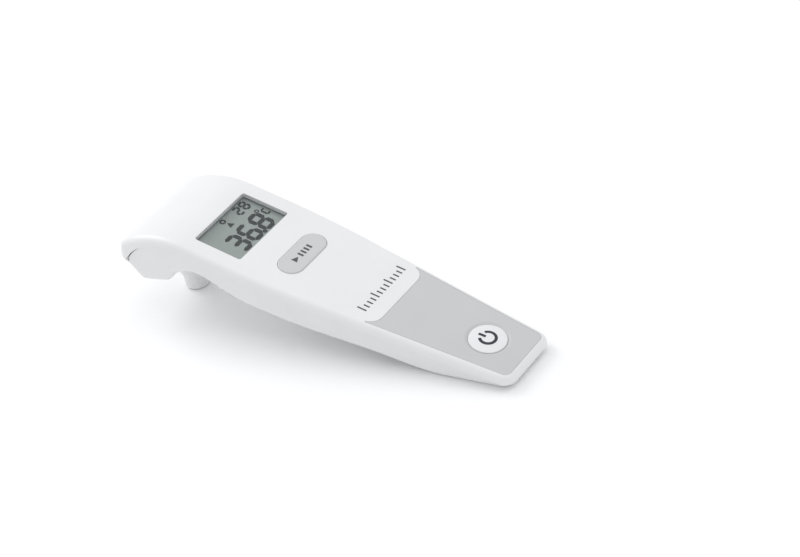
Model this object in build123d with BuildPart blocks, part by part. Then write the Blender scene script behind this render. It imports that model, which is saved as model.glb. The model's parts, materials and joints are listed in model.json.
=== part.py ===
from build123d import *
from math import cos, pi, radians, sin, tan
import os

# Digital ear thermometer: a slim wand with a display, two keys and a probe under its head.
#
# The wand stands on its probe tip and on the flat underside of its tail, so its face slopes
# down towards the tail. +X runs to the tail, +Z is up, and Y = 0 is its plane of symmetry.
# Most pieces are drawn in the wand's own directions: x along the face towards the tail,
# y across it and z square to it, counted from the middle of the display.

# Whole wand, mm
PITCH = 13.5  # slope of the face when the wand stands on a table
NOSE_X = -37.6  # front end of the top cover
TAIL_X = 110.5  # tail end
HEAD_HALF = 20.0  # half width round the display
TAIL_HALF = 12.5  # half width at the tail end
SHOULDER_X = 22.0  # where the straight head side and the taper would meet
NOSE_CORNER_R = 4.0
SHOULDER_R = 380.0
TAIL_CORNER_R = 4.5
BROW_X = -10.0  # where the face starts to roll over to the nose
BROW_R = 37.0
RIM_R = 2.4  # rounding of the face's outer edge

# Split between the covers
SPLIT_Z = -2.8
SPLIT_BROW_X = -12.0
SPLIT_R = 24.0
SEAM = 0.35  # open seam between the covers, which meet at the screw bosses
LIP_END_Z = -18.2  # lower end of the rolled front lip
LIP_ROOT_X = -33.6  # back of the lip at its lower end
LIP_R = 1.8  # rounding of the lip's lower edge
SHADOW_STEP = 1.1  # the top cover overhangs the bottom cover by this much
WALL = 1.6
TOP_WALL = 2.2
COVER_PLATE = 1.6

# Underside, from the head's front edge to the tail
HEAD_FRONT = (-36.4, -18.0)  # where the front, hidden by the lip, starts to slope back
HEAD_TOE = (-28.0, -24.2)  # lowest corner of the head
HEAD_TOE_R = 2.8
BACK_ANGLE = 57.9  # slope of the back of the head
BACK_LENGTH = 3.0
BACK_RISE = 9.0  # how far the hollow in the head follows that slope up
REST_END_REACH = 4.1
# Where the underside passes: x, z, its direction, and how far it holds that before and after
UNDERSIDE = (
    (-16.0, -17.05, BACK_ANGLE, 0.0, 4.2),
    (-5.0, -10.2, 0.0, 4.3, 6.5),
    (15.0, -13.15, -0.9, 7.5, 28.0),
    (66.0, -11.5, 0.0, 13.0, 8.0),
)
REST_END_X = 86.0  # where the flat tail underside begins
REST_AT = (106.5, -5.5)  # a point on the flat tail underside
EDGE_R = 1.8

# Display
WINDOW_L = 18.3
WINDOW_W = 26.9
WINDOW_R = 0.8
LENS_TOP = -0.35
LENS_GAP = 0.1
LCD_L = 22.0
LCD_W = 31.0
LCD_TOP = -2.3
LCD_T = 1.3
LCD_CHAMFER = 0.3

# Keys
START_X = 24.2
START_L = 9.2
START_W = 20.8
START_R = 4.4
POWER_X = 94.7
POWER_R = 6.25
KEY_GAP = 0.1
KEY_PROUD = 0.3
FLANGE = 0.9
FLANGE_TOP = -1.75
FLANGE_BOTTOM = -2.4
PLUNGER_END = -2.9
PLUNGER_R = 1.6
START_EDGE_R = 0.5
POWER_EDGE_R = 0.35

# Grip inlay
INLAY_T = 0.8
INLAY_INSET = 1.9
TAB_END_X = 62.0
TAB_HALF = 14.6
TAB_R = 4.5
HORN_X = 58.4
DISH_R = 7.3
DISH_T = 0.4

# Circuit board
BOARD_TOP = -4.6
BOARD_T = 0.8
BOARD_FRONT = -14.0
BOARD_END = 98.0

# Battery bay
CELL_X = 42.0
CELL_R = 10.0
CELL_T = 3.2
CELL_TOP = -6.7
BAY_L = 26.0
BAY_W = 23.0
BAY_R = 3.0
BAY_LEDGE = 1.4
BAY_GAP = 0.15
DOOR_T = 1.4
HOLDER_END = -8.9
HOLDER_W = 24.0
HOLDER_R = 2.0
HOLDER_GAP = 0.3  # round the cell
HOLDER_ROOM = 0.5  # over the cell, for the negative contact
HOLDER_SLOT_L = 1.0
HOLDER_SLOT_W = 4.6
CELL_LID_R = 8.6
CELL_LID_T = 0.4
CELL_EDGE_R = 0.3
CONTACT_X = 52.17
CONTACT_T = 0.25
CONTACT_PROUD = 0.4  # how far the contacts' legs stand through the circuit board
POSITIVE_W = 4.0
POSITIVE_RISE = 0.5
NEGATIVE_X = 34.5
NEGATIVE_W = 3.0
NEGATIVE_L = 10.25
NEGATIVE_MIDDLE_X = 39.5
DOT_R = 1.2
DOT_T = 0.3
THUMB_L = 9.0
THUMB_W = 3.4
THUMB_INSET = 5.0

# Screws
SCREW_X = 66.0
SCREW_Y = 10.6
SCREW_R = 1.0
SCREW_HEAD_R = 1.9
SCREW_HEAD_T = 1.3
BOSS_R = 2.2
BOSS_JOIN = -5.6

# Probe, heights above the table
CONE_TOP = 12.1
CONE_R = 6.9
TIP_R = 4.3
TIP_LENGTH = 4.6
TIP_EDGE_R = 0.8
SPIGOT_R = 4.1
SPIGOT_TOP = 19.9
FLOOR_TOP = 17.6
COLLAR_TOP = 18.0
COLLAR_R = 7.9
PROBE_BOSS_R = 6.7
PROBE_BACK = 27.6  # the probe's axis is this far in front of the middle of the display
SEAL_T = 0.9
RETAINER_T = 1.2
CAN_BORE_R = 3.4
TUBE_BORE_R = 2.65
TUBE_R = 2.6
TUBE_HOLE_R = 2.1
STEP_HEIGHT = 5.5

# Covers, inside
TONGUE_GAP = 0.15
TONGUE_T = 0.8
TONGUE_X = 14.5
TONGUE_DROP = 2.0
PILOT_T = 3.0
DOOR_SEAT_RIM = 1.2
SCREW_SEAT_Z = -9.8
BOARD_POSTS = ((17.0, 12.5), (88.0, 6.0))
POST_R = 1.4
SCREW_POST_R = 2.6
SCREW_POST_END = -10.8
SCREW_HOLE_R = 1.1
SCREW_HEAD_ROOM_R = 2.05
DRIVE_L = 2.2
DRIVE_W = 0.5
DRIVE_DEPTH = 0.7
SPIGOT_GAP = 0.05
INLAY_GAP = 0.05
INLAY_EDGE_R = 0.2
DISH_BOTTOM_Z = -12.2  # floor of the thumb dish on the battery cover
RIB_GAP = 0.3
RIB_T = 0.8
RIB_H = 0.9
SCREW_LENGTH = 6.5

# Inside
LENS_FLANGE = 1.2
LENS_FLANGE_T = 0.5
REFLECTOR_T = 0.2
REFLECTOR_X = 1.6
REFLECTOR_L = 17.6
REFLECTOR_W = 30.0
STRIP_L = 1.4
STRIP_W = 26.0
STRIP_X = -8.2
FRAME_TOP = -1.9
FRAME_MARGIN = 1.5
FRAME_LIP = 2.0
FRAME_GAP = 0.15
BOARD_HEAD_HALF = 15.0
BOARD_MID_HALF = 12.0
BOARD_TAIL_HALF = 7.8
BOARD_NECK_X = 14.0
BOARD_WAIST_X = 58.0
BOARD_CORNER_R = 1.0
LEG_SLOT_L = 0.8
LEG_SLOT_W = 4.4
CHIP_X = 43.0
CHIP_W = 10.0
CHIP_T = 1.3
CHIP_EDGE = 0.3
CHIP_LIFT = 0.1
CHIP_PINS = 9
CHIP_PITCH = 1.0
CHIP_PIN_W = 0.35
CHIP_PIN_SPAN = 12.0
PIN_T = 0.25
AMPLIFIER_X = 34.0
AMPLIFIER_Y = 8.0
AMPLIFIER_L = 4.0
AMPLIFIER_W = 5.0
AMPLIFIER_T = 1.2
AMPLIFIER_PINS = 4
AMPLIFIER_PITCH = 1.27
AMPLIFIER_PIN_W = 0.4
AMPLIFIER_PIN_SPAN = 6.0
CRYSTAL_L = 8.0
CRYSTAL_W = 3.6
CRYSTAL_T = 1.6
CRYSTAL_END_R = 1.6
COMPONENTS_X = 68.0
COMPONENT_L = 1.6
COMPONENT_W = 0.8
COMPONENT_T = 0.6
COMPONENT_PITCH_X = 3.0
COMPONENT_PITCH_Y = 2.6
COMPONENT_ROWS = 4
COMPONENT_COLUMNS = 5
BUZZER_X = 76.0
BUZZER_R = 6.0
BUZZER_T = 2.2
BUZZER_HOLE_R = 1.0
BUZZER_HOLE_DEPTH = 1.2
POWER_EDGE_Z = -0.05
POWER_MID_Z = 0.32
POWER_DOME_Z = 0.45
CASE_T = 1.2
CASE_W = 6.0
CASE_CORNER = 0.5
CASE_FLOOR = 0.2
STEM_R = 1.5
STEM_T = 1.1
STEM_GAP = 0.15
TIP_WINDOW_Z = 0.4
TIP_WINDOW_T = 0.4
TUBE_START = 0.9
TUBE_LENGTH = 5.5
RETAINER_R = 5.4
CAN_BOTTOM = 6.5
CAN_R = 2.35
CAN_RIM_R = 2.8
CAN_RIM_Z = 9.1
CAN_TOP = 9.5
CAN_GAP = 0.05
SENSOR_HOLDER_TOP = 11.0
LEAD_T = 0.3
LEAD_W = 4.0
LEAD_TURN = 22.0
LEAD_BEND_R = 3.0
LEAD_OVERLAP = 1.5
CUT = 1.0  # how far a cut runs past the surface it goes through
DOWN = (Align.CENTER, Align.CENTER, Align.MAX)
UP = (Align.CENTER, Align.CENTER, Align.MIN)

TILT = radians(PITCH)
FACE_Z = REST_AT[0] * sin(TILT) - REST_AT[1] * cos(TILT)
NOSE_REACH = (NOSE_X + LIP_R) * cos(TILT) + (LIP_END_Z + LIP_R) * sin(TILT) - LIP_R
TAIL_REACH = (TAIL_X - RIM_R) * cos(TILT) + RIM_R * (1 - sin(TILT))
FACE_X = -(NOSE_REACH + TAIL_REACH) / 2
FACE = Plane(
    origin=(FACE_X, 0, FACE_Z),
    x_dir=(cos(TILT), 0, -sin(TILT)),
    z_dir=(sin(TILT), 0, cos(TILT)),
)
SIDE = Plane(origin=FACE.origin, x_dir=FACE.x_dir, z_dir=(0, -1, 0))
NORMAL = FACE.z_dir
PROBE_X = FACE_X - PROBE_BACK
PROBE_SIDE = Plane(origin=(PROBE_X, 0, 0), x_dir=(1, 0, 0), z_dir=(0, -1, 0))
PROBE_AXIS = Axis((PROBE_X, 0, 0), (0, 0, 1))
BELOW = -45.0  # deeper than anything on the wand
ABOVE = 5.0  # higher than the face
BEYOND = 10.0
HALF_CUT = 40.0  # half length of a cut across the wand
WIDE = 60.0  # wider than the wand
LONG = 200.0  # longer than the wand
LEAD_JOINT = Vector(BOARD_FRONT + LEAD_OVERLAP, 0, BOARD_TOP - BOARD_T - LEAD_T)
LEAD_POINT = FACE.from_local_coords(LEAD_JOINT)
LEAD_END = (LEAD_POINT.X, LEAD_POINT.Z)
POWER_SIDE = Plane(
    origin=FACE.from_local_coords(Vector(POWER_X, 0, 0)),
    x_dir=FACE.x_dir,
    z_dir=(0, -1, 0),
)


def rest_z(x):
    """Depth of the flat tail underside, which lies on the table, at a place along the face."""
    return REST_AT[1] - (REST_AT[0] - x) * tan(TILT)


def seat(x, y, z):
    """A plane parallel to the face through one point of the wand."""
    point = FACE.from_local_coords(Vector(x, y, z))
    return Plane(origin=point, x_dir=FACE.x_dir, z_dir=FACE.z_dir)


def wand_shape(inset):
    """Outline of the covers seen square to the face, drawn in from the outer edge."""
    with BuildSketch() as outline:
        with BuildLine():
            FilletPolyline(
                (NOSE_X, -HEAD_HALF),
                (SHOULDER_X, -HEAD_HALF),
                (TAIL_X, -TAIL_HALF),
                (TAIL_X, TAIL_HALF),
                (SHOULDER_X, HEAD_HALF),
                (NOSE_X, HEAD_HALF),
                radius=(
                    NOSE_CORNER_R,
                    SHOULDER_R,
                    TAIL_CORNER_R,
                    TAIL_CORNER_R,
                    SHOULDER_R,
                    NOSE_CORNER_R,
                ),
                close=True,
            )
        make_face()
        if inset:
            offset(amount=-inset, mode=Mode.REPLACE)
    return outline.sketch


def wand_outline(z, inset):
    """The outline of the covers at a depth under the face."""
    return FACE.offset(z) * wand_shape(inset)


def brow_z(x, depth):
    """Depth of the rolled brow, or of a surface that lies a little inside it."""
    return -BROW_R + ((BROW_R - depth) ** 2 - (x - BROW_X) ** 2) ** 0.5


def brow_side(depth, front):
    """Side view of all that lies under the face, or under a surface a little inside it."""
    middle = (front + BROW_X) / 2
    with BuildSketch(SIDE) as region:
        with BuildLine():
            Polyline((BROW_X, -depth), (TAIL_X + BEYOND, -depth), (TAIL_X + BEYOND, BELOW))
            Polyline((TAIL_X + BEYOND, BELOW), (front, BELOW), (front, brow_z(front, depth)))
            ThreePointArc(
                (front, brow_z(front, depth)),
                (middle, brow_z(middle, depth)),
                (BROW_X, -depth),
            )
        make_face()
    return region.sketch


def split_z(x, gap):
    """Depth of the split between the covers where it curves down behind the front lip."""
    return SPLIT_Z - SPLIT_R + ((SPLIT_R - gap) ** 2 - (x - SPLIT_BROW_X) ** 2) ** 0.5


def under_split(gap):
    """Side view of all that lies under the split between the covers, less a gap."""
    root = LIP_ROOT_X + gap
    lip = LIP_END_Z - gap
    top = SPLIT_Z - gap
    middle = (root + SPLIT_BROW_X) / 2
    end = TAIL_X + BEYOND
    front = NOSE_X - BEYOND
    with BuildSketch(SIDE) as region:
        with BuildLine():
            Polyline((SPLIT_BROW_X, top), (end, top), (end, BELOW), (front, BELOW))
            Polyline((front, BELOW), (front, lip), (root, lip), (root, split_z(root, gap)))
            ThreePointArc(
                (root, split_z(root, gap)),
                (middle, split_z(middle, gap)),
                (SPLIT_BROW_X, top),
            )
        make_face()
    return region.sketch


def along(angle, length):
    """A step of some length in the side view."""
    return Vector(length, 0).rotate(Axis.Z, angle)


def underside(rise):
    """Curves along the handle's underside, moved square to it into the handle by the rise."""
    stops = (*UNDERSIDE, (REST_END_X, rest_z(REST_END_X), PITCH, REST_END_REACH, 0.0))
    curves = []
    for (x1, z1, angle1, _, on), (x2, z2, angle2, back, _) in zip(stops, stops[1:]):
        start = Vector(x1, z1) + along(angle1 + 90, rise)
        end = Vector(x2, z2) + along(angle2 + 90, rise)
        curves.append((start, start + along(angle1, on), end - along(angle2, back), end))
    return curves


def head_heel():
    """Back corner of the head's underside."""
    x, z, angle = UNDERSIDE[0][:3]
    return Vector(x, z) - along(angle, BACK_LENGTH)


def handle_side(rise):
    """Side view of the handle above its underside, or above a surface a little inside it."""
    curves = underside(rise)
    end = TAIL_X + BEYOND
    first = curves[0][0]
    last = curves[-1][-1]
    tail = (end, last.Y + (end - last.X) * tan(TILT))
    with BuildSketch(SIDE) as region:
        with BuildLine():
            for curve in curves:
                Bezier(*curve)
            Polyline(last, tail, (end, ABOVE), (first.X, ABOVE), first)
        make_face()
    return region.sketch


def head_side():
    """Corners of the head in the side view, from the top of its front round to its back."""
    back = head_heel() + along(BACK_ANGLE, BACK_RISE)
    return (
        (HEAD_FRONT[0], ABOVE),
        HEAD_FRONT,
        HEAD_TOE,
        head_heel(),
        back,
        (back.X, ABOVE),
    )


def outer_edges(faces):
    """Edges round a group of faces, but not the lines where one runs into another."""
    edges = [edge for face in faces for edge in face.edges()]
    places = [edge.center() for edge in edges]
    return [
        edge
        for edge, place in zip(edges, places)
        if sum((other - place).length < 0.001 for other in places) == 1
    ]


def facing(part, direction, least):
    """Faces that look in a direction."""
    return [face for face in part.faces() if face.normal_at().dot(direction) > least]


def key_outline(plane, length, width, corner, grow):
    """Outline of the START key, or of the hole or flange round it."""
    with BuildSketch(plane) as outline:
        RectangleRounded(length + 2 * grow, width + 2 * grow, corner + grow)
    return outline.sketch


def inlay_outline(z, gap):
    """Outline of the grip inlay: the tail end of the face, less the rounded tab of the cover."""
    with BuildSketch(FACE.offset(z)) as outline:
        add(wand_shape(INLAY_INSET + gap))
        with Locations((HORN_X - gap + LONG / 2, 0)):
            Rectangle(LONG, WIDE, mode=Mode.INTERSECT)
        with Locations((TAB_END_X + gap - WIDE / 2, 0)):
            RectangleRounded(WIDE, 2 * (TAB_HALF + gap), TAB_R + gap, mode=Mode.SUBTRACT)
    return outline.sketch


def finish(name, label):
    """Name a piece and write it."""
    name.part.label = label
    export_step(name.part, f"parts/{label}.step")


os.makedirs("parts", exist_ok=True)


# Top cover: the face, its rounded rim and the lip rolled over the nose
with BuildPart() as top_hollow:
    extrude(wand_outline(0, TOP_WALL), amount=BELOW)
    extrude(brow_side(COVER_PLATE, NOSE_X), amount=HALF_CUT, both=True, mode=Mode.INTERSECT)

with BuildPart() as top_cover:
    extrude(wand_outline(0, 0), amount=LIP_END_Z)
    extrude(brow_side(0, NOSE_X - CUT), amount=HALF_CUT, both=True, mode=Mode.INTERSECT)
    fillet(outer_edges(facing(top_cover.part, NORMAL, 0.5)), RIM_R)
    fillet(outer_edges(facing(top_cover.part, -NORMAL, 0.9)), LIP_R)
    extrude(under_split(0), amount=HALF_CUT, both=True, mode=Mode.SUBTRACT)
    add(top_hollow.part, mode=Mode.SUBTRACT)
    # Tongue that sits inside the bottom cover's wall
    with BuildSketch(FACE.offset(-COVER_PLATE)) as tongue:
        add(wand_shape(TOP_WALL + TONGUE_GAP))
        add(wand_shape(TOP_WALL + TONGUE_GAP + TONGUE_T), mode=Mode.SUBTRACT)
        with Locations((TONGUE_X + LONG / 2, 0)):
            Rectangle(LONG, WIDE, mode=Mode.INTERSECT)
    extrude(amount=-TONGUE_DROP)
    # Bosses that the two screws cut their thread in
    for side in (1, -1):
        with BuildSketch(seat(SCREW_X, side * SCREW_Y, BOSS_JOIN)):
            Circle(BOSS_R)
        extrude(amount=-COVER_PLATE - BOSS_JOIN)
        with BuildSketch(seat(SCREW_X, side * SCREW_Y, BOSS_JOIN)):
            Circle(SCREW_R)
        extrude(amount=PILOT_T, mode=Mode.SUBTRACT)
    # Openings for the display, the two keys and the grip inlay
    extrude(
        key_outline(FACE, WINDOW_L, WINDOW_W, WINDOW_R, 0),
        amount=-COVER_PLATE - CUT,
        mode=Mode.SUBTRACT,
    )
    extrude(
        key_outline(seat(START_X, 0, CUT), START_L, START_W, START_R, KEY_GAP),
        amount=-COVER_PLATE - 2 * CUT,
        mode=Mode.SUBTRACT,
    )
    extrude(inlay_outline(CUT, 0), amount=-CUT - INLAY_T, mode=Mode.SUBTRACT)
    with BuildSketch(seat(POWER_X, 0, CUT)):
        Circle(POWER_R + KEY_GAP)
    extrude(amount=-COVER_PLATE - 2 * CUT, mode=Mode.SUBTRACT)
finish(top_cover, "top_cover")


# Bottom cover: side walls, arched underside and the head that carries the probe
with BuildPart() as head_hollow:
    extrude(wand_outline(0, TOP_WALL), amount=BELOW)
    with BuildSketch(SIDE):
        with BuildLine():
            Polyline(*head_side(), close=True)
        make_face()
        offset(amount=-WALL, mode=Mode.REPLACE)
    extrude(amount=HALF_CUT, both=True, mode=Mode.INTERSECT)
    with BuildSketch(seat(LIP_ROOT_X + WALL + LONG / 2, 0, BELOW)):
        Rectangle(LONG, WIDE)
    extrude(amount=-BELOW, mode=Mode.INTERSECT)
    # Boss that the probe's spigot passes through
    with BuildSketch(Plane.XY.offset(FLOOR_TOP)):
        with Locations((PROBE_X, 0)):
            Circle(PROBE_BOSS_R)
    extrude(amount=-FLOOR_TOP, mode=Mode.SUBTRACT)

with BuildPart() as handle_hollow:
    extrude(wand_outline(0, TOP_WALL), amount=BELOW)
    extrude(handle_side(WALL), amount=HALF_CUT, both=True, mode=Mode.INTERSECT)

with BuildPart() as door_seat:
    extrude(
        key_outline(seat(CELL_X, 0, BELOW), BAY_L, BAY_W, BAY_R, DOOR_SEAT_RIM),
        amount=-BELOW,
    )
    extrude(handle_side(DOOR_T), amount=HALF_CUT, both=True, mode=Mode.INTERSECT)
    extrude(
        handle_side(DOOR_T + DOOR_T),
        amount=HALF_CUT,
        both=True,
        mode=Mode.SUBTRACT,
    )

with BuildPart() as door_space:
    extrude(key_outline(seat(CELL_X, 0, BELOW), BAY_L, BAY_W, BAY_R, 0), amount=-BELOW)
    extrude(handle_side(DOOR_T), amount=HALF_CUT, both=True, mode=Mode.SUBTRACT)

with BuildPart() as posts:
    for post_x, post_y in BOARD_POSTS:
        with BuildSketch(seat(post_x, 0, BOARD_TOP - BOARD_T)):
            with Locations((0, post_y), (0, -post_y)):
                Circle(POST_R)
        extrude(amount=BELOW)
    extrude(handle_side(WALL / 2), amount=HALF_CUT, both=True, mode=Mode.INTERSECT)

with BuildPart() as head_shell:
    with BuildSketch(SIDE):
        with BuildLine():
            FilletPolyline(
                *head_side(),
                radius=(1, HEAD_TOE_R, HEAD_TOE_R, HEAD_TOE_R, 1, 1),
                close=True,
            )
        make_face()
    extrude(amount=HEAD_HALF - SHADOW_STEP, both=True)
    cheeks = [face for face in head_shell.faces() if abs(face.normal_at().Y) > 0.99]
    fillet([edge for face in cheeks for edge in face.edges()], EDGE_R)

with BuildPart() as bottom_cover:
    extrude(wand_outline(0, SHADOW_STEP), amount=BELOW)
    extrude(handle_side(0), amount=HALF_CUT, both=True, mode=Mode.INTERSECT)
    keel = outer_edges(facing(bottom_cover.part, -NORMAL, 0.3))
    fillet([edge for edge in keel if abs(edge.center().Y) > 2 or edge.center().X > 0], EDGE_R)
    add(head_shell.part)
    extrude(under_split(SEAM), amount=HALF_CUT, both=True, mode=Mode.INTERSECT)
    # Tapered collar that the probe stands on
    with BuildSketch(PROBE_SIDE):
        with BuildLine():
            Polyline(
                (0, CONE_TOP),
                (CONE_R, CONE_TOP),
                (COLLAR_R, COLLAR_TOP),
                (0, COLLAR_TOP),
                close=True,
            )
        make_face()
    revolve(axis=PROBE_AXIS)
    add(head_hollow.part, mode=Mode.SUBTRACT)
    add(handle_hollow.part, mode=Mode.SUBTRACT)
    # Ledge for the battery cover, then its opening
    add(door_seat.part)
    add(door_space.part, mode=Mode.SUBTRACT)
    extrude(
        key_outline(seat(CELL_X, 0, BELOW), BAY_L, BAY_W, BAY_R, -BAY_LEDGE),
        amount=-BELOW,
        mode=Mode.SUBTRACT,
    )
    # Posts under the circuit board, screw bosses and seats for the screw heads
    add(posts.part)
    for side in (1, -1):
        with BuildSketch(seat(SCREW_X, side * SCREW_Y, BOSS_JOIN)):
            Circle(SCREW_POST_R)
        extrude(amount=SCREW_POST_END - BOSS_JOIN)
        with BuildSketch(seat(SCREW_X, side * SCREW_Y, BOSS_JOIN)):
            Circle(SCREW_HOLE_R)
        extrude(amount=BELOW, mode=Mode.SUBTRACT)
        with BuildSketch(seat(SCREW_X, side * SCREW_Y, SCREW_SEAT_Z)):
            Circle(SCREW_HEAD_ROOM_R)
        extrude(amount=BELOW, mode=Mode.SUBTRACT)
    # Hole for the probe's spigot
    with BuildSketch(Plane.XY.offset(CONE_TOP - CUT)):
        with Locations((PROBE_X, 0)):
            Circle(SPIGOT_R + SPIGOT_GAP)
    extrude(amount=FLOOR_TOP - CONE_TOP + 2 * CUT, mode=Mode.SUBTRACT)
finish(bottom_cover, "bottom_cover")


# Grip inlay, a thin grey panel let into the tail end of the face
with BuildPart() as grip_inlay:
    extrude(inlay_outline(-INLAY_T, INLAY_GAP), amount=INLAY_T)
    top_edges = grip_inlay.faces().sort_by(Axis(FACE.origin, NORMAL))[-1].outer_wire().edges()
    fillet(top_edges, INLAY_EDGE_R)
    with BuildSketch(seat(POWER_X, 0, -INLAY_T)):
        Circle(POWER_R + KEY_GAP)
    extrude(amount=INLAY_T, mode=Mode.SUBTRACT)
    # Shallow dish round the power key
    with BuildSketch(seat(POWER_X, 0, -DISH_T)):
        Circle(POWER_R + KEY_GAP)
    with BuildSketch(seat(POWER_X, 0, 0)):
        Circle(DISH_R)
    loft(mode=Mode.SUBTRACT)
finish(grip_inlay, "grip_inlay")


# Display window: a clear plate in the opening, with a flange glued under the face
with BuildPart() as display_window:
    extrude(
        key_outline(FACE.offset(-COVER_PLATE), WINDOW_L, WINDOW_W, WINDOW_R, -LENS_GAP),
        amount=COVER_PLATE + LENS_TOP,
    )
    extrude(
        key_outline(FACE.offset(-COVER_PLATE), WINDOW_L, WINDOW_W, WINDOW_R, LENS_FLANGE),
        amount=-LENS_FLANGE_T,
    )
finish(display_window, "display_window")


# Display, from the glass down to the connector that joins it to the circuit board
with BuildPart(FACE.offset(LCD_TOP)) as lcd_glass:
    Box(LCD_L, LCD_W, LCD_T, align=DOWN)
    chamfer(lcd_glass.edges().filter_by(Axis(FACE.origin, NORMAL)), LCD_CHAMFER)
finish(lcd_glass, "lcd_glass")

with BuildPart(seat(REFLECTOR_X, 0, LCD_TOP - LCD_T)) as lcd_reflector:
    Box(REFLECTOR_L, REFLECTOR_W, REFLECTOR_T, align=DOWN)
finish(lcd_reflector, "lcd_reflector")

with BuildPart(FACE.offset(BOARD_TOP)) as lcd_frame:
    Box(
        LCD_L + 2 * FRAME_MARGIN,
        LCD_W + 2 * FRAME_MARGIN,
        FRAME_TOP - BOARD_TOP,
        align=UP,
    )
    Box(
        LCD_L - 2 * FRAME_LIP,
        LCD_W - 2 * FRAME_LIP,
        FRAME_TOP - BOARD_TOP,
        align=UP,
        mode=Mode.SUBTRACT,
    )
    with BuildSketch(FACE.offset(LCD_TOP - LCD_T - REFLECTOR_T)):
        Rectangle(LCD_L + 2 * FRAME_GAP, LCD_W + 2 * FRAME_GAP)
    extrude(amount=BOARD_T - BOARD_TOP, mode=Mode.SUBTRACT)
finish(lcd_frame, "lcd_frame")

with BuildPart(seat(STRIP_X, 0, BOARD_TOP)) as elastomer_connector:
    Box(STRIP_L, STRIP_W, LCD_TOP - LCD_T - BOARD_TOP, align=UP)
finish(elastomer_connector, "elastomer_connector")


# Circuit board and what is soldered to it
with BuildPart() as circuit_board:
    with BuildSketch(FACE.offset(BOARD_TOP - BOARD_T)) as board_outline:
        with BuildLine():
            FilletPolyline(
                (BOARD_FRONT, -BOARD_HEAD_HALF),
                (BOARD_NECK_X, -BOARD_HEAD_HALF),
                (BOARD_NECK_X, -BOARD_MID_HALF),
                (BOARD_WAIST_X, -BOARD_MID_HALF),
                (BOARD_WAIST_X, -BOARD_TAIL_HALF),
                (BOARD_END, -BOARD_TAIL_HALF),
                (BOARD_END, BOARD_TAIL_HALF),
                (BOARD_WAIST_X, BOARD_TAIL_HALF),
                (BOARD_WAIST_X, BOARD_MID_HALF),
                (BOARD_NECK_X, BOARD_MID_HALF),
                (BOARD_NECK_X, BOARD_HEAD_HALF),
                (BOARD_FRONT, BOARD_HEAD_HALF),
                radius=BOARD_CORNER_R,
                close=True,
            )
        make_face()
    extrude(amount=BOARD_T)
    # Slots for the battery contacts
    with BuildSketch(FACE.offset(BOARD_TOP)):
        with Locations((CONTACT_X, 0), (NEGATIVE_X, 0)):
            Rectangle(LEG_SLOT_L, LEG_SLOT_W)
    extrude(amount=-BOARD_T, mode=Mode.SUBTRACT)
finish(circuit_board, "circuit_board")

with BuildPart(seat(CHIP_X, 0, BOARD_TOP + CHIP_LIFT)) as microcontroller:
    Box(CHIP_W, CHIP_W, CHIP_T, align=UP)
    chamfer(microcontroller.faces().sort_by(Axis(FACE.origin, NORMAL))[-1].edges(), CHIP_EDGE)
    with BuildSketch(seat(CHIP_X, 0, BOARD_TOP)):
        with GridLocations(0, CHIP_PITCH, 1, CHIP_PINS):
            Rectangle(CHIP_PIN_SPAN, CHIP_PIN_W)
        with GridLocations(CHIP_PITCH, 0, CHIP_PINS, 1):
            Rectangle(CHIP_PIN_W, CHIP_PIN_SPAN)
    extrude(amount=PIN_T)
finish(microcontroller, "microcontroller")

with BuildPart(seat(AMPLIFIER_X, -AMPLIFIER_Y, BOARD_TOP + CHIP_LIFT)) as amplifier_chip:
    Box(AMPLIFIER_L, AMPLIFIER_W, AMPLIFIER_T, align=UP)
    with BuildSketch(seat(AMPLIFIER_X, -AMPLIFIER_Y, BOARD_TOP)):
        with GridLocations(0, AMPLIFIER_PITCH, 1, AMPLIFIER_PINS):
            Rectangle(AMPLIFIER_PIN_SPAN, AMPLIFIER_PIN_W)
    extrude(amount=PIN_T)
finish(amplifier_chip, "amplifier_chip")

with BuildPart(seat(AMPLIFIER_X, AMPLIFIER_Y, BOARD_TOP)) as crystal:
    Box(CRYSTAL_L, CRYSTAL_W, CRYSTAL_T, align=UP)
    fillet(crystal.edges().filter_by(Axis(FACE.origin, NORMAL)), CRYSTAL_END_R)
finish(crystal, "crystal")

with BuildPart() as small_components:
    with BuildSketch(seat(COMPONENTS_X, 0, BOARD_TOP)):
        with GridLocations(
            COMPONENT_PITCH_X, COMPONENT_PITCH_Y, COMPONENT_ROWS, COMPONENT_COLUMNS
        ):
            Rectangle(COMPONENT_L, COMPONENT_W)
    extrude(amount=COMPONENT_T)
finish(small_components, "small_components")

with BuildPart() as buzzer:
    with BuildSketch(seat(BUZZER_X, 0, BOARD_TOP - BOARD_T)):
        Circle(BUZZER_R)
    extrude(amount=-BUZZER_T)
    with BuildSketch(seat(BUZZER_X, 0, BOARD_TOP - BOARD_T - BUZZER_T)):
        Circle(BUZZER_HOLE_R)
    extrude(amount=BUZZER_HOLE_DEPTH, mode=Mode.SUBTRACT)
finish(buzzer, "buzzer")


# Keys: a cap with a flange under the face, a plunger, and the stem of its switch
with BuildPart() as start_button:
    extrude(
        key_outline(seat(START_X, 0, FLANGE_BOTTOM), START_L, START_W, START_R, 0),
        amount=KEY_PROUD - FLANGE_BOTTOM,
    )
    fillet(start_button.faces().sort_by(Axis(FACE.origin, NORMAL))[-1].edges(), START_EDGE_R)
    extrude(
        key_outline(seat(START_X, 0, FLANGE_BOTTOM), START_L, START_W, START_R, FLANGE),
        amount=FLANGE_TOP - FLANGE_BOTTOM,
    )
    with BuildSketch(seat(START_X, 0, PLUNGER_END)):
        Circle(PLUNGER_R)
    extrude(amount=FLANGE_BOTTOM - PLUNGER_END)
finish(start_button, "start_button")

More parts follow.
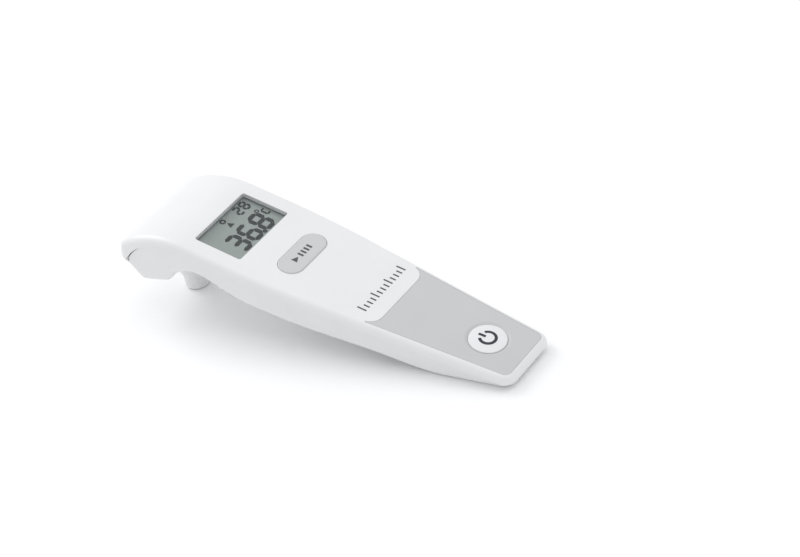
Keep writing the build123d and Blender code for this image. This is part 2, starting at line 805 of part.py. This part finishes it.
with BuildPart() as power_button:
    with BuildSketch(POWER_SIDE):
        with BuildLine():
            Polyline(
                (0, PLUNGER_END),
                (PLUNGER_R, PLUNGER_END),
                (PLUNGER_R, FLANGE_BOTTOM),
                (POWER_R + FLANGE, FLANGE_BOTTOM),
                (POWER_R + FLANGE, FLANGE_TOP),
                (POWER_R, FLANGE_TOP),
                (POWER_R, POWER_EDGE_Z),
            )
            ThreePointArc((POWER_R, POWER_EDGE_Z), (POWER_R / 2, POWER_MID_Z), (0, POWER_DOME_Z))
            Line((0, POWER_DOME_Z), (0, PLUNGER_END))
        make_face()
    revolve(axis=Axis(POWER_SIDE.origin, NORMAL))
    rim = [e for e in power_button.edges() if abs(e.length - 2 * pi * POWER_R) < 0.1]
    fillet(rim[-1:], POWER_EDGE_R)
finish(power_button, "power_button")

for key_x, label in ((START_X, "start_switch"), (POWER_X, "power_switch")):
    with BuildPart(seat(key_x, 0, BOARD_TOP)) as switch_case:
        Box(CASE_W, CASE_W, CASE_T, align=UP)
        chamfer(switch_case.edges().filter_by(Axis(FACE.origin, NORMAL)), CASE_CORNER)
        with BuildSketch(seat(key_x, 0, BOARD_TOP + CASE_T)):
            Circle(STEM_R + STEM_GAP)
        extrude(amount=CASE_FLOOR - CASE_T, mode=Mode.SUBTRACT)
    finish(switch_case, label)
    with BuildPart() as switch_stem:
        with BuildSketch(seat(key_x, 0, PLUNGER_END)):
            Circle(STEM_R)
        extrude(amount=-STEM_T)
    finish(switch_stem, label + "_stem")


# Battery, its holder, its contacts and the cover that lifts off
with BuildPart() as battery_holder:
    with BuildSketch(seat(CELL_X, 0, HOLDER_END)):
        RectangleRounded(HOLDER_W, HOLDER_W, HOLDER_R)
    extrude(amount=BOARD_TOP - BOARD_T - HOLDER_END)
    with BuildSketch(seat(CELL_X, 0, HOLDER_END)):
        Circle(CELL_R + HOLDER_GAP)
    extrude(amount=CELL_TOP + HOLDER_ROOM - HOLDER_END, mode=Mode.SUBTRACT)
    with BuildSketch(seat(CELL_X, 0, HOLDER_END)):
        with Locations((CONTACT_X - CELL_X, 0), (NEGATIVE_X - CELL_X, 0)):
            Rectangle(HOLDER_SLOT_L, HOLDER_SLOT_W)
    extrude(amount=BOARD_TOP - HOLDER_END, mode=Mode.SUBTRACT)
finish(battery_holder, "battery_holder")

with BuildPart() as coin_cell:
    with BuildSketch(seat(CELL_X, 0, CELL_TOP)):
        Circle(CELL_LID_R)
    extrude(amount=-CELL_T)
    with BuildSketch(seat(CELL_X, 0, CELL_TOP - CELL_LID_T)):
        Circle(CELL_R)
    extrude(amount=-CELL_T + CELL_LID_T)
    fillet(coin_cell.faces().sort_by(Axis(FACE.origin, NORMAL))[0].edges(), CELL_EDGE_R)
finish(coin_cell, "coin_cell")

with BuildPart() as contact_positive:
    with BuildSketch(seat(CONTACT_X, 0, CELL_TOP - CELL_T + POSITIVE_RISE)):
        Rectangle(CONTACT_T, POSITIVE_W)
    extrude(amount=BOARD_TOP + CONTACT_PROUD - CELL_TOP + CELL_T - POSITIVE_RISE)
finish(contact_positive, "contact_positive")

with BuildPart() as contact_negative:
    with BuildSketch(seat(NEGATIVE_MIDDLE_X, 0, CELL_TOP + CONTACT_T)):
        Rectangle(NEGATIVE_L, NEGATIVE_W)
    extrude(amount=CONTACT_T)
    with BuildSketch(seat(CELL_X, 0, CELL_TOP)):
        Circle(DOT_R)
    extrude(amount=DOT_T)
    with BuildSketch(seat(NEGATIVE_X, 0, CELL_TOP + CONTACT_T)):
        Rectangle(CONTACT_T, NEGATIVE_W)
    extrude(amount=BOARD_TOP + CONTACT_PROUD - CELL_TOP - CONTACT_T)
finish(contact_negative, "contact_negative")

with BuildPart() as door_rib:
    extrude(
        key_outline(seat(CELL_X, 0, BELOW), BAY_L, BAY_W, BAY_R, -BAY_LEDGE - RIB_GAP),
        amount=-BELOW,
    )
    extrude(
        key_outline(seat(CELL_X, 0, BELOW), BAY_L, BAY_W, BAY_R, -BAY_LEDGE - RIB_GAP - RIB_T),
        amount=-BELOW,
        mode=Mode.SUBTRACT,
    )
    extrude(handle_side(DOOR_T), amount=HALF_CUT, both=True, mode=Mode.INTERSECT)
    extrude(handle_side(DOOR_T + RIB_H), amount=HALF_CUT, both=True, mode=Mode.SUBTRACT)

with BuildPart() as battery_cover:
    extrude(
        key_outline(seat(CELL_X, 0, BELOW), BAY_L, BAY_W, BAY_R, -BAY_GAP),
        amount=-BELOW,
    )
    extrude(handle_side(DOOR_T), amount=HALF_CUT, both=True, mode=Mode.SUBTRACT)
    extrude(handle_side(0), amount=HALF_CUT, both=True, mode=Mode.INTERSECT)
    add(door_rib.part)
    # Thumb dish
    with BuildSketch(seat(CELL_X + BAY_L / 2 - THUMB_INSET, 0, BELOW)):
        SlotOverall(THUMB_L, THUMB_W, rotation=90)
    extrude(amount=DISH_BOTTOM_Z - BELOW, mode=Mode.SUBTRACT)
finish(battery_cover, "battery_cover")


# Two screws that pull the covers together
with BuildPart() as housing_screws:
    with BuildSketch(seat(SCREW_X, 0, SCREW_SEAT_Z)):
        with Locations((0, SCREW_Y), (0, -SCREW_Y)):
            Circle(SCREW_HEAD_R)
    extrude(amount=-SCREW_HEAD_T)
    with BuildSketch(seat(SCREW_X, 0, SCREW_SEAT_Z)):
        with Locations((0, SCREW_Y), (0, -SCREW_Y)):
            Circle(SCREW_R)
    extrude(amount=SCREW_LENGTH)
    with BuildSketch(seat(SCREW_X, 0, SCREW_SEAT_Z - SCREW_HEAD_T)):
        with Locations((0, SCREW_Y), (0, -SCREW_Y)):
            Rectangle(DRIVE_L, DRIVE_W)
            Rectangle(DRIVE_W, DRIVE_L)
    extrude(amount=DRIVE_DEPTH, mode=Mode.SUBTRACT)
finish(housing_screws, "housing_screws")


# Probe: every piece is round about one upright axis, drawn as radius and height
with BuildPart() as probe_cone:
    with BuildSketch(PROBE_SIDE):
        with BuildLine():
            Polyline(
                (TUBE_BORE_R, 0),
                (TUBE_BORE_R, STEP_HEIGHT),
                (CAN_BORE_R, STEP_HEIGHT),
                (CAN_BORE_R, SPIGOT_TOP),
                (SPIGOT_R, SPIGOT_TOP),
                (SPIGOT_R, CONE_TOP),
                (CONE_R, CONE_TOP),
                (TIP_R, TIP_LENGTH),
                (TIP_R, 0),
                close=True,
            )
        make_face()
    revolve(axis=PROBE_AXIS)
    rings = probe_cone.edges().filter_by(GeomType.CIRCLE)
    tip_edge = [e for e in rings if e.center().Z < 0.1 and e.length > 2 * pi * (TIP_R - 0.1)]
    fillet(tip_edge, TIP_EDGE_R)
finish(probe_cone, "probe_cone")

with BuildPart() as probe_window:
    with BuildSketch(Plane.XY.offset(TIP_WINDOW_Z)):
        with Locations((PROBE_X, 0)):
            Circle(TUBE_BORE_R)
    extrude(amount=TIP_WINDOW_T)
finish(probe_window, "probe_window")

with BuildPart() as waveguide:
    with BuildSketch(Plane.XY.offset(TUBE_START)):
        with Locations((PROBE_X, 0)):
            Circle(TUBE_R)
            Circle(TUBE_HOLE_R, mode=Mode.SUBTRACT)
    extrude(amount=TUBE_LENGTH)
finish(waveguide, "waveguide")

with BuildPart() as thermopile_sensor:
    with BuildSketch(Plane.XY.offset(CAN_BOTTOM)):
        with Locations((PROBE_X, 0)):
            Circle(CAN_R)
    extrude(amount=CAN_RIM_Z - CAN_BOTTOM)
    with BuildSketch(Plane.XY.offset(CAN_RIM_Z)):
        with Locations((PROBE_X, 0)):
            Circle(CAN_RIM_R)
    extrude(amount=CAN_TOP - CAN_RIM_Z)
finish(thermopile_sensor, "thermopile_sensor")

with BuildPart() as sensor_holder:
    with BuildSketch(PROBE_SIDE):
        with BuildLine():
            Polyline(
                (TUBE_BORE_R, STEP_HEIGHT),
                (TUBE_BORE_R, CAN_BOTTOM),
                (CAN_R + CAN_GAP, CAN_BOTTOM),
                (CAN_R + CAN_GAP, CAN_RIM_Z),
                (CAN_RIM_R + CAN_GAP, CAN_RIM_Z),
                (CAN_RIM_R + CAN_GAP, SENSOR_HOLDER_TOP),
                (CAN_BORE_R - CAN_GAP, SENSOR_HOLDER_TOP),
                (CAN_BORE_R - CAN_GAP, STEP_HEIGHT),
                close=True,
            )
        make_face()
    revolve(axis=PROBE_AXIS)
finish(sensor_holder, "sensor_holder")

with BuildPart() as probe_seal:
    with BuildSketch(PROBE_SIDE):
        with Locations((SPIGOT_R + SEAL_T / 2, FLOOR_TOP + SEAL_T / 2)):
            Circle(SEAL_T / 2)
    revolve(axis=PROBE_AXIS)
finish(probe_seal, "probe_seal")

with BuildPart() as probe_retainer:
    with BuildSketch(Plane.XY.offset(FLOOR_TOP + SEAL_T)):
        with Locations((PROBE_X, 0)):
            Circle(RETAINER_R)
            Circle(SPIGOT_R + SPIGOT_GAP, mode=Mode.SUBTRACT)
    extrude(amount=RETAINER_T)
finish(probe_retainer, "probe_retainer")

# Flat lead from the sensor up to the front of the circuit board
with BuildPart() as sensor_leads:
    with BuildSketch(Plane.XZ):
        with BuildLine():
            FilletPolyline(
                (PROBE_X, CAN_TOP),
                (PROBE_X, LEAD_TURN),
                LEAD_END,
                radius=LEAD_BEND_R,
            )
        trace(line_width=LEAD_T)
    extrude(amount=LEAD_W / 2, both=True)
finish(sensor_leads, "sensor_leads")
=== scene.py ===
import json
from math import cos, pi, radians, sin

import bmesh
import bpy
from mathutils import Matrix, Vector
from mathutils.bvhtree import BVHTree


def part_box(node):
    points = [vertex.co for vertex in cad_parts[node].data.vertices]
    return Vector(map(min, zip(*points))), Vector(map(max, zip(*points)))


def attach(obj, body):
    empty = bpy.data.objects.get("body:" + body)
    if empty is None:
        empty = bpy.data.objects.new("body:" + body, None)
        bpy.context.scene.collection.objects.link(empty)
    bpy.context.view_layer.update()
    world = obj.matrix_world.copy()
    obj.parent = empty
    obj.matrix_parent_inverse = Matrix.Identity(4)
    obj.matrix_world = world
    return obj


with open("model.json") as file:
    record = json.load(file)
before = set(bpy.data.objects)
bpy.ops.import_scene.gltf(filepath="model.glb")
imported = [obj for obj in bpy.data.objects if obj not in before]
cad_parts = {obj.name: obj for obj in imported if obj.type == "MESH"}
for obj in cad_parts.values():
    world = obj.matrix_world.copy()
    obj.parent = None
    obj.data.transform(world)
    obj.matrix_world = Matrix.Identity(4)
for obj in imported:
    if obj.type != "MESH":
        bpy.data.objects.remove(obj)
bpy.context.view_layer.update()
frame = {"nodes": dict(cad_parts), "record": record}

# Looks of the digital ear thermometer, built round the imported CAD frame.
#
# The marks are drawn in the wand's own directions, in millimetres: x along the face towards
# the tail, y across it and z square to it, counted from the middle of the display.

MM = 0.001

# The wand in the frame
PITCH = radians(13.5)  # slope of the face
LCD_TOP = -2.3  # top of the display glass under the face
LCD_MIDDLE = -2.95  # middle of the display glass under the face

# Camera, from the point on the face that it looks at
AIM = (56.93, 7.61)
DISTANCE = 799.0
AZIMUTH = radians(42.0)
ELEVATION = radians(35.18)
ROLL = radians(-13.66)
LENS = 112.57
SENSOR = 36.0
CLIP_START = 0.01
CLIP_END = 20.0

# Light and floor, in metres and watts
WORLD_COLOUR = (0.97, 0.98, 1.0, 1)
WORLD_STRENGTH = 0.78
LAMP_TARGET = (0, 0, 0.02)
# Name, place, size and power of each lamp
LAMPS = (
    ("key_lamp", (-0.75, 0.12, 0.6), (0.5, 0.6), 3.1),
    ("top_lamp", (0.3, 0.2, 1.0), (1.0, 1.0), 2.3),
)
FLOOR_SIZE = 6.0
FLOOR_Z = -0.0001  # just under the wand, so that the two don't share a plane

# Display
SEGMENT_LIFT = 0.02
SEGMENT_T = 0.05
DIGITS = (("3", -7.4), ("6", -1.1), ("8", 5.3))  # symbol and its near side
DIGIT_TOP = -1.3  # the end of the digits that points to the head
DIGIT_H = 7.7
DIGIT_W = 4.1
DIGIT_STROKE = 1.6
BAR_GAP = 0.08
POINT_Y = 4.15
POINT_R = 0.8
DEGREE = (-1.6, 10.5, 0.62, 0.42)  # x, y, radius and stroke
C_STROKE = 0.7
C_BARS = ((-0.6, 11.5, -0.6, 13.1), (-0.6, 11.5, 2.2, 11.5), (2.2, 11.5, 2.2, 13.1))
COUNT = (("2", 6.2), ("8", 9.5))
COUNT_TOP = -8.5
COUNT_H = 3.7
COUNT_W = 2.1
COUNT_STROKE = 0.85
RING_ICON = (-7.8, 0.1, 0.85, 0.6)
RING_STEPS = 16
POINTER_ICON = ((-6.3, 0.4), (-4.0, 1.6), (-4.0, -0.8))

# Printed marks
PRINT_T = 0.04
PRINT_LIFT = 0.012
PRINT_STEP = 0.5  # longest edge of a mark that follows a curved surface
POWER_STEP = 0.6
CAST_HEIGHT = 20
START_X = 24.2
START_POINTER = ((-1.2, -4.6), (1.2, -4.6), (0.0, -2.3))
START_BARS_Y = (-0.9, 0.7, 2.3, 3.9)
START_BAR_L = 2.2
START_BAR_W = 0.75
POWER_X = 94.7
POWER_RING_R = 2.6
POWER_RING_W = 1.0
POWER_RING_START = 1.2 * pi
POWER_RING_END = 2.8 * pi
POWER_BAR_X = 92.6
POWER_BAR_L = 2.6
POWER_BAR_W = 0.95
SCALE_X = 54.5
SCALE_Y = -10.6
SCALE_PITCH = 1.87
SCALE_TICKS = 13
LONG_EVERY = 4
LONG_TICK = 3.4
SHORT_TICK = 2.2
TICK_W = 0.55

WHITE = (0.80, 0.80, 0.797)
DISPLAY_GREY = (0.385, 0.43, 0.41)
NOISE_LOW = 0.3  # the part of the noise's range that the finishes use
NOISE_HIGH = 0.7
CLOUD_SIZE = 14.0  # slow variation in a moulding's colour, mm
WAVE_SIZE = 9.0  # flow waviness of a moulding, mm
WAVE_DEPTH = 0.004

ALONG = Vector((cos(PITCH), 0, -sin(PITCH)))
ACROSS = Vector((0, 1, 0))
NORMAL = Vector((sin(PITCH), 0, cos(PITCH)))


def face_origin():
    """The middle of the display on the face, found from the display glass."""
    low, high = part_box("lcd_glass")
    return (low + high) / 2 - NORMAL * LCD_MIDDLE * MM


ORIGIN = face_origin()


def on_wand(x, y, z):
    """A point of the wand, in millimetres, as a place in the frame."""
    return ORIGIN + (ALONG * x + ACROSS * y + NORMAL * z) * MM


# ---------------------------------------------------------------- camera, floor and light


def aim(obj, place, target, roll=0.0):
    """Put a lamp or the camera at a place, looking at a target."""
    obj.location = place
    turn = (target - place).to_track_quat("-Z", "Y").to_matrix().to_4x4()
    obj.rotation_euler = (turn @ Matrix.Rotation(roll, 4, "Z")).to_euler()


def make_camera():
    data = bpy.data.cameras.new("camera")
    data.lens = LENS
    data.sensor_width = SENSOR
    data.clip_start = CLIP_START
    data.clip_end = CLIP_END
    camera = bpy.data.objects.new("camera", data)
    bpy.context.scene.collection.objects.link(camera)
    bpy.context.scene.camera = camera
    target = on_wand(AIM[0], AIM[1], 0)
    level = cos(ELEVATION)
    back = Vector((sin(AZIMUTH) * level, -cos(AZIMUTH) * level, sin(ELEVATION)))
    aim(camera, target + back * DISTANCE * MM, target, ROLL)


def area_lamp(name, place, size, power):
    data = bpy.data.lights.new(name, "AREA")
    data.shape = "RECTANGLE"
    data.size, data.size_y = size
    data.energy = power
    lamp = bpy.data.objects.new(name, data)
    bpy.context.scene.collection.objects.link(lamp)
    aim(lamp, Vector(place), Vector(LAMP_TARGET))


def make_light():
    bpy.context.scene.view_settings.view_transform = "Standard"
    world = bpy.data.worlds.new("studio")
    bpy.context.scene.world = world
    world.use_nodes = True
    background = world.node_tree.nodes["Background"]
    background.inputs["Color"].default_value = WORLD_COLOUR
    background.inputs["Strength"].default_value = WORLD_STRENGTH
    for lamp in LAMPS:
        area_lamp(*lamp)


def make_floor():
    bpy.ops.mesh.primitive_grid_add(x_subdivisions=2, y_subdivisions=2, size=FLOOR_SIZE)
    floor = bpy.context.object
    floor.name = "floor"
    floor.location.z = FLOOR_Z
    floor.data.materials.append(floor_finish())


# ---------------------------------------------------------------- materials


class Finish:
    """A material with a node tree that is easy to add to."""

    def __init__(self, name, colour, roughness):
        self.material = bpy.data.materials.new(name)
        self.material.use_nodes = True
        self.tree = self.material.node_tree
        self.shader = self.tree.nodes["Principled BSDF"]
        self.shader.inputs["Base Color"].default_value = (*colour, 1)
        self.shader.inputs["Roughness"].default_value = roughness
        self.place = self.tree.nodes.new("ShaderNodeTexCoord").outputs["Object"]

    def node(self, kind):
        return self.tree.nodes.new(kind)

    def link(self, source, target):
        self.tree.links.new(source, target)

    def set(self, name, value):
        self.shader.inputs[name].default_value = value

    def noise(self, size_mm, detail=2.0, rough=0.5, stretch=None):
        """Noise whose features are about size_mm across."""
        made = self.node("ShaderNodeTexNoise")
        made.inputs["Scale"].default_value = 1 / (size_mm * MM)
        made.inputs["Detail"].default_value = detail
        made.inputs["Roughness"].default_value = rough
        source = self.place
        if stretch:
            mapping = self.node("ShaderNodeMapping")
            mapping.inputs["Scale"].default_value = stretch
            self.link(source, mapping.inputs["Vector"])
            source = mapping.outputs["Vector"]
        self.link(source, made.inputs["Vector"])
        return made.outputs["Fac"]

    def spread(self, source, low, high):
        """A value that runs from low to high with the source."""
        made = self.node("ShaderNodeMapRange")
        made.inputs["From Min"].default_value = NOISE_LOW
        made.inputs["From Max"].default_value = NOISE_HIGH
        made.inputs["To Min"].default_value = low
        made.inputs["To Max"].default_value = high
        self.link(source, made.inputs["Value"])
        return made.outputs["Result"]

    def tint(self, source, dark, light):
        """Colour that varies between two shades."""
        ramp = self.node("ShaderNodeValToRGB")
        ramp.color_ramp.elements[0].position = NOISE_LOW
        ramp.color_ramp.elements[0].color = (*dark, 1)
        ramp.color_ramp.elements[1].position = NOISE_HIGH
        ramp.color_ramp.elements[1].color = (*light, 1)
        self.link(source, ramp.inputs["Fac"])
        self.link(ramp.outputs["Color"], self.shader.inputs["Base Color"])

    def roughness(self, source, low, high):
        self.link(self.spread(source, low, high), self.shader.inputs["Roughness"])

    def bump(self, layers):
        """Stack of bumps: (source, depth in mm)."""
        normal = None
        for source, depth in layers:
            made = self.node("ShaderNodeBump")
            made.inputs["Strength"].default_value = 1.0
            made.inputs["Distance"].default_value = depth * MM
            self.link(source, made.inputs["Height"])
            if normal:
                self.link(normal, made.inputs["Normal"])
            normal = made.outputs["Normal"]
        self.link(normal, self.shader.inputs["Normal"])


def shade(colour, factor):
    """A colour made lighter or darker."""
    return tuple(min(1.0, part * factor) for part in colour)


def plastic(name, colour, roughness, grain_mm, grain_depth):
    """Moulded plastic: fine spark-eroded grain over a very slight flow waviness."""
    finish = Finish(name, colour, roughness)
    grain = finish.noise(grain_mm, 3.0, 0.6)
    clouds = finish.noise(CLOUD_SIZE)
    finish.tint(clouds, shade(colour, 0.985), shade(colour, 1.01))
    finish.roughness(finish.noise(grain_mm * 2.5), roughness * 0.92, roughness * 1.08)
    finish.bump([(finish.noise(WAVE_SIZE, 1.0), WAVE_DEPTH), (grain, grain_depth)])
    finish.set("IOR", 1.5)
    return finish.material


def metal(name, colour, roughness, stretch=None):
    """Metal or metallised film with fine brush marks."""
    finish = Finish(name, colour, roughness)
    finish.set("Metallic", 1.0)
    brushed = finish.noise(0.5, 3.0, 0.6, stretch)
    finish.tint(brushed, shade(colour, 0.93), shade(colour, 1.04))
    finish.roughness(brushed, roughness * 0.8, roughness * 1.25)
    finish.bump([(brushed, 0.002)])
    return finish.material


def ink(name, colour, roughness=0.55):
    """Pad-printed ink, slightly uneven."""
    finish = Finish(name, colour, roughness)
    speckle = finish.noise(0.25, 3.0, 0.7)
    finish.tint(speckle, shade(colour, 0.85), shade(colour, 1.2))
    finish.roughness(speckle, roughness * 0.9, roughness * 1.1)
    finish.bump([(speckle, 0.002)])
    return finish.material


def display_glass():
    """Reflective display: grey green, with the fine speckle of its reflector."""
    finish = Finish("display_glass", DISPLAY_GREY, 0.32)
    speckle = finish.noise(0.35, 4.0, 0.7)
    finish.tint(speckle, shade(DISPLAY_GREY, 0.95), shade(DISPLAY_GREY, 1.05))
    finish.roughness(speckle, 0.28, 0.38)
    finish.bump([(speckle, 0.001)])
    return finish.material


def clear_plastic():
    """Clear window: mostly see-through, with a mirror-like sheen."""
    finish = Finish("window_clear", (0.24, 0.27, 0.26), 0.06)
    haze = finish.noise(3.0)
    finish.tint(haze, (0.22, 0.25, 0.24), (0.26, 0.29, 0.28))
    finish.roughness(haze, 0.05, 0.09)
    finish.bump([(haze, 0.0006)])
    finish.set("Alpha", 0.1)
    finish.set("IOR", 1.49)
    return finish.material


def floor_finish():
    """Pale matt paper."""
    finish = Finish("floor_paper", (0.96, 0.96, 0.96), 0.8)
    pulp = finish.noise(2.0, 3.0)
    finish.tint(pulp, (0.955, 0.955, 0.955), (0.965, 0.965, 0.965))
    finish.bump([(pulp, 0.002)])
    return finish.material


def make_finishes():
    """One finish for each slot of the record.

    A plastic has a colour, a roughness, the size of its grain and the depth of its grain, in mm.
    """
    return {
        "white_shell": plastic("shell_white", WHITE, 0.36, 0.12, 0.0016),
        "probe_white": plastic("probe_white", WHITE, 0.26, 0.15, 0.0006),
        "grey_inlay": plastic("inlay_grey", (0.56, 0.56, 0.564), 0.48, 0.16, 0.0035),
        "key_grey": plastic("key_grey", (0.575, 0.58, 0.58), 0.45, 0.16, 0.002),
        "key_white": plastic("key_white", (0.80, 0.80, 0.81), 0.3, 0.15, 0.0008),
        "clear_window": clear_plastic(),
        "lcd_glass": display_glass(),
        "silver_film": metal("silver_film", (0.6, 0.62, 0.6), 0.35),
        "inner_plastic": plastic("inner_plastic", (0.72, 0.72, 0.71), 0.5, 0.2, 0.003),
        "rubber_black": plastic("rubber_black", (0.03, 0.03, 0.03), 0.75, 0.1, 0.003),
        "board_green": plastic("board_green", (0.03, 0.16, 0.07), 0.35, 0.4, 0.002),
        "chip_black": plastic("chip_black", (0.03, 0.03, 0.034), 0.55, 0.08, 0.002),
        "steel_bright": metal("steel_bright", (0.62, 0.62, 0.64), 0.28, (1, 6, 1)),
        "ceramic_tan": plastic("ceramic_tan", (0.5, 0.4, 0.28), 0.5, 0.1, 0.001),
        "spring_brass": metal("spring_brass", (0.8, 0.62, 0.3), 0.3, (1, 6, 1)),
        "gold_tube": metal("gold_tube", (0.9, 0.7, 0.33), 0.22, (1, 1, 6)),
        "window_film": plastic("window_film", (0.5, 0.52, 0.56), 0.15, 0.5, 0.0004),
        "film_amber": plastic("film_amber", (0.5, 0.24, 0.05), 0.3, 0.4, 0.0006),
    }


def dress_frame(finishes):
    """Give every CAD node the finish of its record slot."""
    for entry in frame["record"]["subparts"]:
        node = frame["nodes"][entry["node"]]
        node.data.materials.clear()
        node.data.materials.append(finishes[entry["material_slot"]])


# ---------------------------------------------------------------- thin printed marks


def surface(node):
    """A tree that finds the surface of a CAD node."""
    mesh = frame["nodes"][node].data
    corners = [vertex.co.copy() for vertex in mesh.vertices]
    return BVHTree.FromPolygons(corners, [face.vertices[:] for face in mesh.polygons])


def print_marks(
    name, outlines, body, material, node=None, level=None, thick=PRINT_T, step=PRINT_STEP
):
    """Thin raised marks from flat outlines (x, y in mm), on a CAD node or at a fixed level."""
    mesh = bmesh.new()
    for outline in outlines:
        corners = [mesh.verts.new((x, y, 0)) for x, y in outline]
        mesh.faces.new(corners)
    bmesh.ops.triangulate(mesh, faces=mesh.faces[:])
    if node:
        cuts = [e for e in mesh.edges if e.calc_length() > step]
        while cuts:
            bmesh.ops.subdivide_edges(mesh, edges=cuts, cuts=1)
            bmesh.ops.triangulate(mesh, faces=mesh.faces[:])
            cuts = [e for e in mesh.edges if e.calc_length() > step]
    bmesh.ops.recalc_face_normals(mesh, faces=mesh.faces[:])
    tree = surface(node) if node else None
    for vertex in mesh.verts:
        x, y = vertex.co.x, vertex.co.y
        base = level
        if tree:
            hit = tree.ray_cast(on_wand(x, y, CAST_HEIGHT), -NORMAL)[0]
            base = (hit - on_wand(x, y, 0)).dot(NORMAL) / MM + PRINT_LIFT
        vertex.co = on_wand(x, y, base)
    made = bmesh.ops.extrude_face_region(mesh, geom=mesh.faces[:])
    top = [item for item in made["geom"] if isinstance(item, bmesh.types.BMVert)]
    bmesh.ops.translate(mesh, verts=top, vec=NORMAL * thick * MM)
    bmesh.ops.recalc_face_normals(mesh, faces=mesh.faces[:])
    data = bpy.data.meshes.new(name)
    mesh.to_mesh(data)
    mesh.free()
    data.materials.append(material)
    piece = bpy.data.objects.new(name, data)
    bpy.context.scene.collection.objects.link(piece)
    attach(piece, body)


def box_outline(x, y, length, width):
    """A rectangle about a centre, x along the wand and y across it."""
    return [
        (x - length / 2, y - width / 2),
        (x + length / 2, y - width / 2),
        (x + length / 2, y + width / 2),
        (x - length / 2, y + width / 2),
    ]


def disc_outline(x, y, radius, sides=24):
    """A disc with straight sides."""
    angles = [2 * pi * i / sides for i in range(sides)]
    return [(x + radius * cos(angle), y + radius * sin(angle)) for angle in angles]


def arc_band(x, y, radius, width, start, end, steps=36):
    """Short four-cornered pieces of a ring, from one angle to another."""
    bands = []
    inner, outer = radius - width / 2, radius + width / 2
    for i in range(steps):
        a = start + (end - start) * i / steps
        b = start + (end - start) * (i + 1) / steps
        bands.append(
            [
                (x + inner * cos(a), y + inner * sin(a)),
                (x + outer * cos(a), y + outer * sin(a)),
                (x + outer * cos(b), y + outer * sin(b)),
                (x + inner * cos(b), y + inner * sin(b)),
            ]
        )
    return bands


# Which of the seven bars are lit: top, upper left, upper right, middle, lower left, lower
# right, bottom
BARS = {
    "2": (1, 0, 1, 1, 1, 0, 1),
    "3": (1, 0, 1, 1, 0, 1, 1),
    "6": (1, 1, 0, 1, 1, 1, 1),
    "8": (1, 1, 1, 1, 1, 1, 1),
}


def bar(x1, y1, x2, y2, width, gap):
    """A pointed display bar from one joint to the next."""
    start, end = Vector((x1, y1)), Vector((x2, y2))
    run = (end - start).normalized()
    side = Vector((-run.y, run.x)) * width / 2
    a, b = start + run * gap, end - run * gap
    tip = run * width / 2
    corners = (a, a + tip + side, b - tip + side, b, b - tip - side, a + tip - side)
    return [tuple(corner) for corner in corners]


def digit(symbol, top, left, height, width, stroke):
    """One seven-bar digit. Its top points to the head, so it is read from the near side on."""
    middle, bottom = top + height / 2, top + height
    right = left + width
    ends = (
        (top, left, top, right),
        (top, left, middle, left),
        (top, right, middle, right),
        (middle, left, middle, right),
        (middle, left, bottom, left),
        (middle, right, bottom, right),
        (bottom, left, bottom, right),
    )
    return [bar(*end, stroke, BAR_GAP) for end, lit in zip(ends, BARS[symbol]) if lit]


def make_display():
    """Lit segments of the display: a reading, a small count and two plain icons."""
    outlines = []
    for symbol, left in DIGITS:
        outlines += digit(symbol, DIGIT_TOP, left, DIGIT_H, DIGIT_W, DIGIT_STROKE)
    outlines.append(disc_outline(DIGIT_TOP + DIGIT_H, POINT_Y, POINT_R))
    # Degree ring and a C
    outlines += arc_band(*DEGREE, 0, 2 * pi, RING_STEPS)
    outlines += [bar(*ends, C_STROKE, 0.0) for ends in C_BARS]
    # Small count at the head end
    for symbol, left in COUNT:
        outlines += digit(symbol, COUNT_TOP, left, COUNT_H, COUNT_W, COUNT_STROKE)
    # Icons: a ring and a small pointer
    outlines += arc_band(*RING_ICON, 0, 2 * pi, RING_STEPS)
    outlines.append(POINTER_ICON)
    black = ink("segment_black", (0.008, 0.010, 0.010), 0.4)
    print_marks(
        "lcd_segments",
        outlines,
        "housing",
        black,
        level=LCD_TOP + SEGMENT_LIFT,
        thick=SEGMENT_T,
    )


def make_prints():
    """Marks printed on the keys and on the face."""
    dark = ink("print_dark", (0.075, 0.075, 0.08))
    navy = ink("print_navy", (0.02, 0.022, 0.035), 0.45)
    # START key: a pointer and four short bars
    start = [[(START_X + x, y) for x, y in START_POINTER]]
    start += [box_outline(START_X, y, START_BAR_L, START_BAR_W) for y in START_BARS_Y]
    print_marks("start_mark", start, "start_key", dark, node="start_button")
    # Power key: the usual broken ring and bar
    ring = arc_band(POWER_X, 0, POWER_RING_R, POWER_RING_W, POWER_RING_START, POWER_RING_END)
    ring.append(box_outline(POWER_BAR_X, 0, POWER_BAR_L, POWER_BAR_W))
    print_marks(
        "power_mark", ring, "power_key", navy, node="power_button", step=POWER_STEP
    )
    # Face: a plain row of scale ticks
    ticks = []
    for i in range(SCALE_TICKS):
        height = SHORT_TICK if i % LONG_EVERY else LONG_TICK
        x = SCALE_X + (LONG_TICK - height) / 2
        ticks.append(box_outline(x, SCALE_Y + i * SCALE_PITCH, height, TICK_W))
    print_marks("scale_ticks", ticks, "housing", dark, node="top_cover")


make_camera()
make_light()
make_floor()
finishes = make_finishes()
dress_frame(finishes)
make_display()
make_prints()
